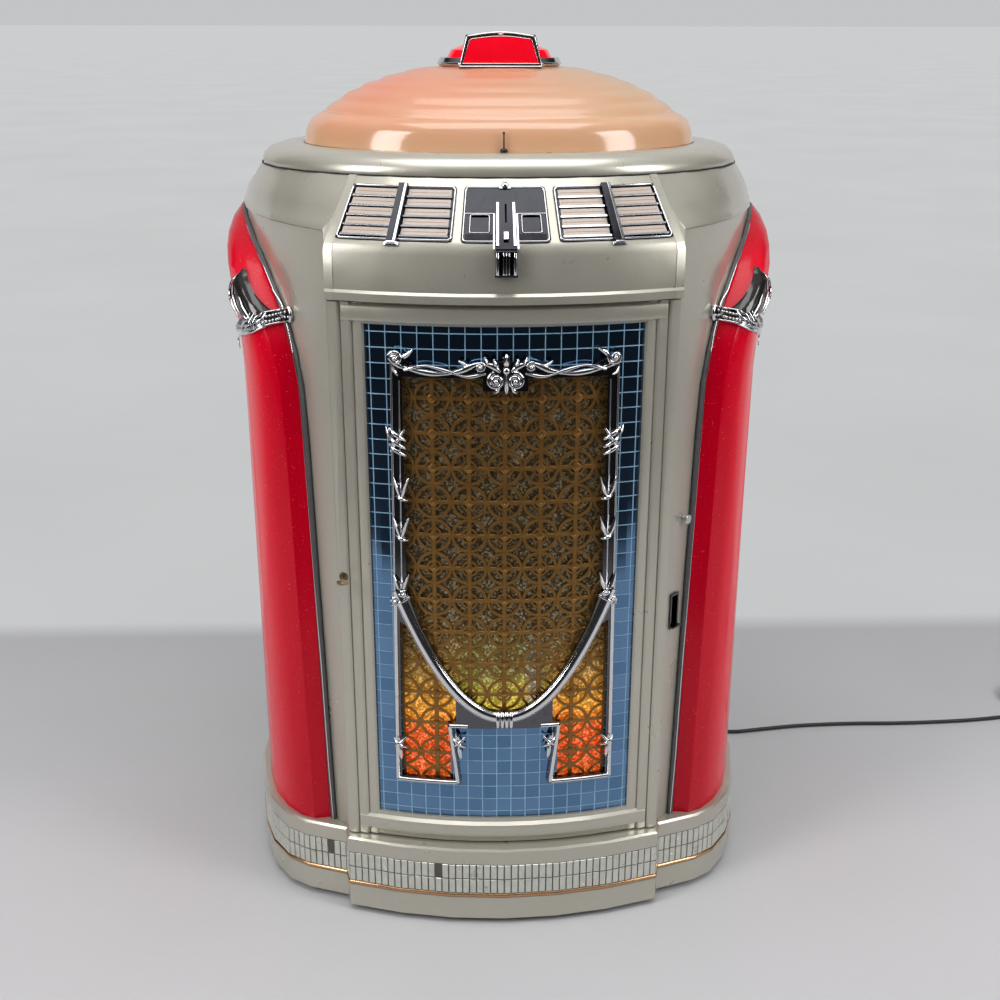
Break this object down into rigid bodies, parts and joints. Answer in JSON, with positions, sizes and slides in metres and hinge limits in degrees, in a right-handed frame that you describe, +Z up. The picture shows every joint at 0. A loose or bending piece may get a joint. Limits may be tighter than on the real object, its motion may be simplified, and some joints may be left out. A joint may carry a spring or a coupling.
{
  "type": "jukebox",
  "caption": "Floor-standing jukebox: barrel cabinet on casters, lit red side pilasters, bowed mirror door with chrome grille, title console with push bars, rippled dome lid.",
  "frame": {"origin": "on the floor under the middle of the cabinet's outline", "axes": "+Z up, the front with the door faces -Y, +X is the viewer's right when facing the front"},
  "size_m": [1.7913, 0.8386, 1.46],
  "materials": {
    "cabinet_paint": "plywood with a satin metallic champagne paint",
    "cast_metal": "metallic champagne paint on cast and pressed metal",
    "red_plastic": "translucent red moulded plastic",
    "chrome": "polished chrome",
    "grey_trim": "dark grey satin strip",
    "mirror_blue": "dark blue mirror tiles",
    "mirror_clear": "clear mirror tiles",
    "gold": "dark gold metal",
    "copper": "copper-coloured bead",
    "dome_plastic": "translucent peach moulded plastic",
    "dark_steel": "dark grey enamelled steel",
    "chassis": "dull grey chassis",
    "fibreboard": "bare brown fibreboard",
    "baffle": "black board and paper cone",
    "shellac": "black records",
    "rubber": "black rubber",
    "bronze": "worn bronze"
  },
  "bodies": {
    "cabinet": {"base_skirt": "cabinet_paint", "skirt_mirror_band": "mirror_clear", "skirt_copper_trim": "copper", "cabinet_shell": "cabinet_paint", "top_deck": "cast_metal", "pilaster_left": "red_plastic", "pilaster_right": "red_plastic", "pilaster_trim_left": "grey_trim", "pilaster_trim_right": "grey_trim", "ornament_left": "chrome", "ornament_right": "chrome", "title_panel_left": "chrome", "title_panel_right": "chrome", "coin_plate": "chrome", "coin_return_cup": "chrome", "back_panel": "fibreboard", "speaker": "baffle", "amplifier": "chassis", "changer_deck": "dark_steel", "power_cord": "rubber", "cord_coil": "rubber", "mains_plug": "rubber"},
    "door": {"door_frame": "cast_metal", "mirror_panel": "mirror_blue", "grille_screen": "gold", "grille_frame": "chrome"},
    "key": {"door_key": "bronze"},
    "lid": {"lid_collar": "cast_metal", "dome": "dome_plastic", "crown_base": "chrome", "crown_lamp": "red_plastic"},
    "lever": {"coin_lever": "chrome"},
    "cancel_button": {"cancel_button": "chrome"},
    "platter": {"turntable": "chassis"},
    "tonearm": {"tonearm": "chrome"},
    "magazine": {"record_magazine": "shellac"},
    "select_bar_01": {"select_bar_01": "chrome"},
    "select_bar_02": {"select_bar_02": "chrome"},
    "select_bar_03": {"select_bar_03": "chrome"},
    "select_bar_04": {"select_bar_04": "chrome"},
    "select_bar_05": {"select_bar_05": "chrome"},
    "select_bar_06": {"select_bar_06": "chrome"},
    "select_bar_07": {"select_bar_07": "chrome"},
    "select_bar_08": {"select_bar_08": "chrome"},
    "select_bar_09": {"select_bar_09": "chrome"},
    "select_bar_10": {"select_bar_10": "chrome"},
    "select_bar_11": {"select_bar_11": "chrome"},
    "select_bar_12": {"select_bar_12": "chrome"},
    "select_bar_13": {"select_bar_13": "chrome"},
    "select_bar_14": {"select_bar_14": "chrome"},
    "select_bar_15": {"select_bar_15": "chrome"},
    "select_bar_16": {"select_bar_16": "chrome"},
    "select_bar_17": {"select_bar_17": "chrome"},
    "select_bar_18": {"select_bar_18": "chrome"},
    "select_bar_19": {"select_bar_19": "chrome"},
    "select_bar_20": {"select_bar_20": "chrome"},
    "caster_wheel_back_left": {"caster_wheel_back_left": "rubber"},
    "caster_wheel_back_right": {"caster_wheel_back_right": "rubber"},
    "caster_wheel_front_left": {"caster_wheel_front_left": "rubber"},
    "caster_wheel_front_right": {"caster_wheel_front_right": "rubber"}
  },
  "joints": [
    {"name": "door_hinge", "type": "hinge", "parent": "cabinet", "child": "door", "pos_m": [0.264, -0.247, 0.152], "axis": [0, 0, 1], "range_deg": [0, 110]},
    {"name": "key_turn", "type": "hinge", "parent": "door", "child": "key", "pos_m": [-0.2585, -0.25745, 0.633], "axis": [0, -1, 0], "range_deg": [0, 90]},
    {"name": "lid_hinge", "type": "hinge", "parent": "cabinet", "child": "lid", "pos_m": [0, 0.3095, 1.2585], "axis": [-1, 0, 0], "range_deg": [0, 65]},
    {"name": "coin_lever_slide", "type": "slide", "parent": "cabinet", "child": "lever", "axis": [0, -0.5877, -0.8091], "range_m": [0, 0.006], "stiffness_N_per_m": 60, "springref_m": -0.002},
    {"name": "cancel_push", "type": "slide", "parent": "cabinet", "child": "cancel_button", "axis": [-0.7336, 0.6796, 0], "range_m": [0, 0.005], "stiffness_N_per_m": 250, "springref_m": -0.002},
    {"name": "platter_spin", "type": "hinge", "parent": "cabinet", "child": "platter", "pos_m": [0.165, 0.09, 0.9], "axis": [0, 0, 1], "continuous": true},
    {"name": "tonearm_swing", "type": "hinge", "parent": "cabinet", "child": "tonearm", "pos_m": [0.165, -0.06, 0.924], "axis": [0, 0, 1], "range_deg": [-55, 0]},
    {"name": "magazine_slide", "type": "slide", "parent": "cabinet", "child": "magazine", "axis": [1, 0, 0], "range_m": [-0.03, 0.03]},
    {"name": "select_bar_01_push", "type": "slide", "parent": "cabinet", "child": "select_bar_01", "axis": [0.1402, 0.7916, -0.5947], "range_m": [0, 0.004], "stiffness_N_per_m": 250, "springref_m": -0.002},
    {"name": "select_bar_02_push", "type": "slide", "parent": "cabinet", "child": "select_bar_02", "axis": [0.1422, 0.7912, -0.5947], "range_m": [0, 0.004], "stiffness_N_per_m": 250, "springref_m": -0.002},
    {"name": "select_bar_03_push", "type": "slide", "parent": "cabinet", "child": "select_bar_03", "axis": [0.1442, 0.7909, -0.5947], "range_m": [0, 0.004], "stiffness_N_per_m": 250, "springref_m": -0.002},
    {"name": "select_bar_04_push", "type": "slide", "parent": "cabinet", "child": "select_bar_04", "axis": [0.1464, 0.7905, -0.5948], "range_m": [0, 0.004], "stiffness_N_per_m": 250, "springref_m": -0.002},
    {"name": "select_bar_05_push", "type": "slide", "parent": "cabinet", "child": "select_bar_05", "axis": [0.1486, 0.79, -0.5948], "range_m": [0, 0.004], "stiffness_N_per_m": 250, "springref_m": -0.002},
    {"name": "select_bar_06_push", "type": "slide", "parent": "cabinet", "child": "select_bar_06", "axis": [0.2354, 0.7529, -0.6146], "range_m": [0, 0.004], "stiffness_N_per_m": 250, "springref_m": -0.002},
    {"name": "select_bar_07_push", "type": "slide", "parent": "cabinet", "child": "select_bar_07", "axis": [0.2411, 0.751, -0.6146], "range_m": [0, 0.004], "stiffness_N_per_m": 250, "springref_m": -0.002},
    {"name": "select_bar_08_push", "type": "slide", "parent": "cabinet", "child": "select_bar_08", "axis": [0.247, 0.7491, -0.6147], "range_m": [0, 0.004], "stiffness_N_per_m": 250, "springref_m": -0.002},
    {"name": "select_bar_09_push", "type": "slide", "parent": "cabinet", "child": "select_bar_09", "axis": [0.2531, 0.747, -0.6148], "range_m": [0, 0.004], "stiffness_N_per_m": 250, "springref_m": -0.002},
    {"name": "select_bar_10_push", "type": "slide", "parent": "cabinet", "child": "select_bar_10", "axis": [0.2593, 0.7447, -0.6149], "range_m": [0, 0.004], "stiffness_N_per_m": 250, "springref_m": -0.002},
    {"name": "select_bar_11_push", "type": "slide", "parent": "cabinet", "child": "select_bar_11", "axis": [-0.1402, 0.7916, -0.5947], "range_m": [0, 0.004], "stiffness_N_per_m": 250, "springref_m": -0.002},
    {"name": "select_bar_12_push", "type": "slide", "parent": "cabinet", "child": "select_bar_12", "axis": [-0.1422, 0.7912, -0.5947], "range_m": [0, 0.004], "stiffness_N_per_m": 250, "springref_m": -0.002},
    {"name": "select_bar_13_push", "type": "slide", "parent": "cabinet", "child": "select_bar_13", "axis": [-0.1442, 0.7909, -0.5947], "range_m": [0, 0.004], "stiffness_N_per_m": 250, "springref_m": -0.002},
    {"name": "select_bar_14_push", "type": "slide", "parent": "cabinet", "child": "select_bar_14", "axis": [-0.1464, 0.7905, -0.5948], "range_m": [0, 0.004], "stiffness_N_per_m": 250, "springref_m": -0.002},
    {"name": "select_bar_15_push", "type": "slide", "parent": "cabinet", "child": "select_bar_15", "axis": [-0.1486, 0.79, -0.5948], "range_m": [0, 0.004], "stiffness_N_per_m": 250, "springref_m": -0.002},
    {"name": "select_bar_16_push", "type": "slide", "parent": "cabinet", "child": "select_bar_16", "axis": [-0.2354, 0.7529, -0.6146], "range_m": [0, 0.004], "stiffness_N_per_m": 250, "springref_m": -0.002},
    {"name": "select_bar_17_push", "type": "slide", "parent": "cabinet", "child": "select_bar_17", "axis": [-0.2411, 0.751, -0.6146], "range_m": [0, 0.004], "stiffness_N_per_m": 250, "springref_m": -0.002},
    {"name": "select_bar_18_push", "type": "slide", "parent": "cabinet", "child": "select_bar_18", "axis": [-0.247, 0.7491, -0.6147], "range_m": [0, 0.004], "stiffness_N_per_m": 250, "springref_m": -0.002},
    {"name": "select_bar_19_push", "type": "slide", "parent": "cabinet", "child": "select_bar_19", "axis": [-0.2531, 0.747, -0.6148], "range_m": [0, 0.004], "stiffness_N_per_m": 250, "springref_m": -0.002},
    {"name": "select_bar_20_push", "type": "slide", "parent": "cabinet", "child": "select_bar_20", "axis": [-0.2593, 0.7447, -0.6149], "range_m": [0, 0.004], "stiffness_N_per_m": 250, "springref_m": -0.002},
    {"name": "caster_wheel_back_left_roll", "type": "hinge", "parent": "cabinet", "child": "caster_wheel_back_left", "pos_m": [-0.33, 0.235, 0.024], "axis": [1, 0, 0], "continuous": true},
    {"name": "caster_wheel_back_right_roll", "type": "hinge", "parent": "cabinet", "child": "caster_wheel_back_right", "pos_m": [0.33, 0.235, 0.024], "axis": [1, 0, 0], "continuous": true},
    {"name": "caster_wheel_front_left_roll", "type": "hinge", "parent": "cabinet", "child": "caster_wheel_front_left", "pos_m": [-0.33, -0.15, 0.024], "axis": [1, 0, 0], "continuous": true},
    {"name": "caster_wheel_front_right_roll", "type": "hinge", "parent": "cabinet", "child": "caster_wheel_front_right", "pos_m": [0.33, -0.15, 0.024], "axis": [1, 0, 0], "continuous": true}
  ]
}
